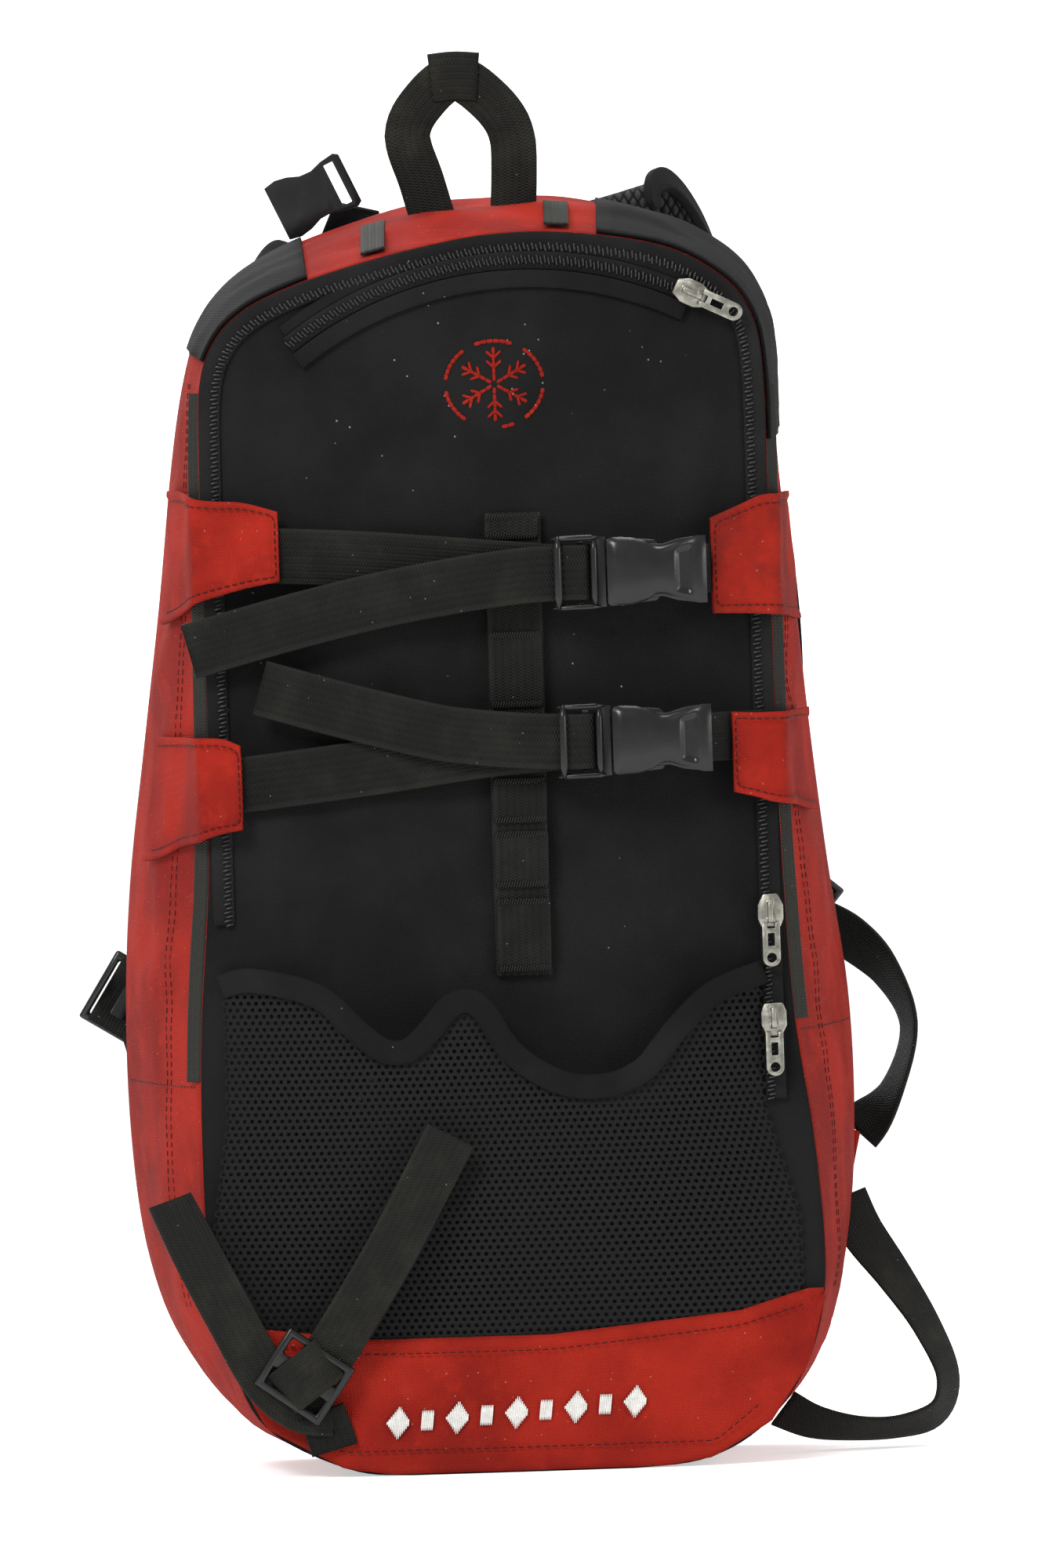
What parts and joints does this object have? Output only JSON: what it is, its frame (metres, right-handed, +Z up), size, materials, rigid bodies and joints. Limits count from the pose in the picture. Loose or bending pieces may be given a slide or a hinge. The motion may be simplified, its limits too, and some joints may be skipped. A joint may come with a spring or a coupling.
{
  "type": "ski backpack",
  "caption": "Narrow upright ski and day pack with front mesh pocket, side-release compression straps, zips, haul loop, shoulder straps and ski-carry loops.",
  "frame": {"origin": "middle of the flat base, where the pack stands", "axes": "+Z up towards the haul loop, -Y out of the front pocket, +Y towards the wearer, +X to the right seen from the front"},
  "size_m": [0.313, 0.2068, 0.5061],
  "materials": {
    "red_fabric": "woven nylon, worn and soiled",
    "black_fabric": "matt softshell cloth",
    "back_fabric": "spacer mesh over foam",
    "foam": "closed-cell foam",
    "frame_plastic": "sheet",
    "mesh": "open hexagonal knit",
    "binding": "smooth stretch binding",
    "grosgrain": "ribbed tape",
    "zip_tape": "zip tape with nylon coil",
    "zip_metal": "dull nickel",
    "webbing": "ribbed webbing",
    "buckle_plastic": "satin moulded acetal"
  },
  "bodies": {
    "pack": {"front_panel": "black_fabric", "side_left": "red_fabric", "side_right": "red_fabric", "top_panel": "red_fabric", "base_panel": "black_fabric", "back_panel": "back_fabric", "back_foam": "foam", "frame_sheet": "frame_plastic", "inner_sleeve": "black_fabric", "bottom_band": "red_fabric", "mesh_pocket": "mesh", "pocket_binding": "binding", "daisy_chain": "webbing", "side_tape_left": "grosgrain", "side_tape_right": "grosgrain", "top_tapes": "grosgrain", "main_zip": "zip_tape", "pocket_zip": "zip_tape", "wing_upper_left": "red_fabric", "wing_lower_left": "red_fabric", "wing_upper_right": "red_fabric", "wing_lower_right": "red_fabric", "upper_socket": "buckle_plastic", "lower_socket": "buckle_plastic", "upper_web_right": "webbing", "lower_web_right": "webbing", "strap_root_left": "back_fabric", "strap_root_right": "back_fabric", "anchor_fin_left": "red_fabric", "anchor_fin_right": "red_fabric", "ski_anchor_left": "webbing"},
    "pocket_slider": {"pocket_slider": "zip_metal"},
    "pocket_puller": {"pocket_puller": "zip_metal"},
    "zip_slider_upper": {"zip_slider_upper": "zip_metal"},
    "zip_puller_upper": {"zip_puller_upper": "zip_metal"},
    "zip_slider_lower": {"zip_slider_lower": "zip_metal"},
    "zip_puller_lower": {"zip_puller_lower": "zip_metal"},
    "upper_plug": {"upper_plug": "buckle_plastic", "upper_prongs": "buckle_plastic", "upper_strap": "webbing"},
    "lower_plug": {"lower_plug": "buckle_plastic", "lower_prongs": "buckle_plastic", "lower_strap": "webbing"},
    "haul_loop": {"haul_loop": "webbing"},
    "shoulder_left": {"shoulder_pad_left": "back_fabric", "ladder_left": "buckle_plastic", "lower_web_left": "webbing", "sternum_web_left": "webbing", "sternum_socket": "buckle_plastic"},
    "shoulder_right": {"shoulder_pad_right": "back_fabric", "ladder_right": "buckle_plastic", "lower_web_right_side": "webbing", "sternum_web_right": "webbing", "sternum_plug": "buckle_plastic"},
    "ski_loop_right": {"ski_loop_right": "webbing"},
    "ski_lock_left": {"ski_ladder_left": "buckle_plastic", "ski_strap_left": "webbing"}
  },
  "joints": [
    {"name": "pocket_zip_run", "type": "hinge", "parent": "pack", "child": "pocket_slider", "pos_m": [0.017, -0.0579, 0.294], "axis": [0, -0.9986, 0.0527], "range_deg": [-58, 0]},
    {"name": "pocket_puller_flip", "type": "hinge", "parent": "pocket_slider", "child": "pocket_puller", "pos_m": [0.08133, -0.0485, 0.41688], "axis": [-0.4384, 0, -0.8988], "range_deg": [0, 95]},
    {"name": "upper_slider_run", "type": "slide", "parent": "pack", "child": "zip_slider_upper", "axis": [0, 0.0527, 0.9986], "range_m": [-0.012, 0.028]},
    {"name": "upper_puller_flip", "type": "hinge", "parent": "zip_slider_upper", "child": "zip_puller_upper", "pos_m": [0.0995, -0.05876, 0.1933], "axis": [-1, 0, 0], "range_deg": [0, 95]},
    {"name": "lower_slider_run", "type": "slide", "parent": "pack", "child": "zip_slider_lower", "axis": [0, 0.0527, 0.9986], "range_m": [-0.02, 0.003]},
    {"name": "lower_puller_flip", "type": "hinge", "parent": "zip_slider_lower", "child": "zip_puller_lower", "pos_m": [0.0995, -0.06082, 0.1543], "axis": [-1, 0, 0], "range_deg": [0, 95]},
    {"name": "upper_plug_release", "type": "slide", "parent": "pack", "child": "upper_plug", "axis": [-1, 0, 0], "range_m": [0, 0.022], "deforming": ["upper_prongs", "upper_strap"]},
    {"name": "lower_plug_release", "type": "slide", "parent": "pack", "child": "lower_plug", "axis": [-1, 0, 0], "range_m": [0, 0.022], "deforming": ["lower_prongs", "lower_strap"]},
    {"name": "haul_loop_flop", "type": "hinge", "parent": "pack", "child": "haul_loop", "pos_m": [-0.002, 0.016, 0.459], "axis": [1, 0, 0], "range_deg": [-50, 45], "stiffness_Nm_per_rad": 0.03},
    {"name": "shoulder_left_swing", "type": "hinge", "parent": "pack", "child": "shoulder_left", "pos_m": [-0.038, 0.06, 0.446], "axis": [1, 0, 0], "range_deg": [0, 40], "deforming": ["lower_web_left"]},
    {"name": "shoulder_right_swing", "type": "hinge", "parent": "pack", "child": "shoulder_right", "pos_m": [0.038, 0.06, 0.446], "axis": [1, 0, 0], "range_deg": [0, 40], "deforming": ["lower_web_right_side"]},
    {"name": "ski_loop_flop", "type": "hinge", "parent": "pack", "child": "ski_loop_right", "pos_m": [0.127, 0.036, 0.092], "axis": [-0.2753, -0.4129, -0.8682], "range_deg": [-3, 12], "stiffness_Nm_per_rad": 0.02},
    {"name": "ski_lock_flop", "type": "hinge", "parent": "pack", "child": "ski_lock_left", "pos_m": [-0.0795, -0.07682, 0.0264], "axis": [0.8211, 0, -0.5708], "range_deg": [0, 70], "stiffness_Nm_per_rad": 0.05}
  ]
}
